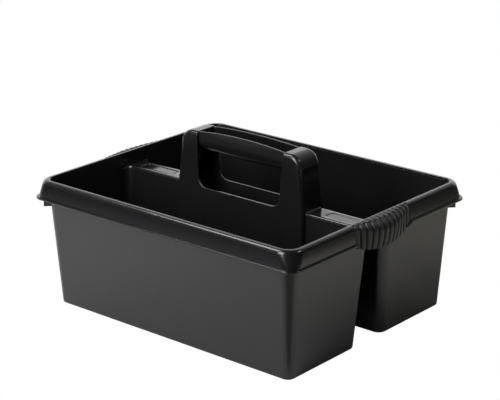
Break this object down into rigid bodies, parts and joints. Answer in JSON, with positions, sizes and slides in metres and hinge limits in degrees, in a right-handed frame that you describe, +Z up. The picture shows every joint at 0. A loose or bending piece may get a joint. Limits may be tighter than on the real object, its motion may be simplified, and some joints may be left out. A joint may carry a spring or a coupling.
{
  "type": "cleaning caddy",
  "caption": "Open cleaning caddy with deep side-by-side bins, a tall fixed carry handle between them, a rolled rim and ribbed finger grips at the ends.",
  "frame": {"origin": "centre of the base, on the plane that the bins rest on", "axes": "+X along the long side, -Y towards the front, +Z up"},
  "size_m": [0.4158, 0.3318, 0.2116],
  "materials": {
    "bin_plastic": "black polypropylene, fine satin mould texture",
    "ledge_plastic": "black polypropylene, polished",
    "handle_plastic": "black polypropylene, semi-gloss",
    "rim_plastic": "black polypropylene, semi-gloss",
    "side_grip_plastic": "black polypropylene, satin"
  },
  "bodies": {
    "root": {"front_bin": "bin_plastic", "rear_bin": "bin_plastic", "left_ledge": "ledge_plastic", "right_ledge": "ledge_plastic", "handle_tower": "handle_plastic", "handle_grip": "handle_plastic", "rolled_rim": "rim_plastic", "left_side_grip": "side_grip_plastic", "right_side_grip": "side_grip_plastic", "corner_gussets": "bin_plastic"}
  },
  "joints": []
}
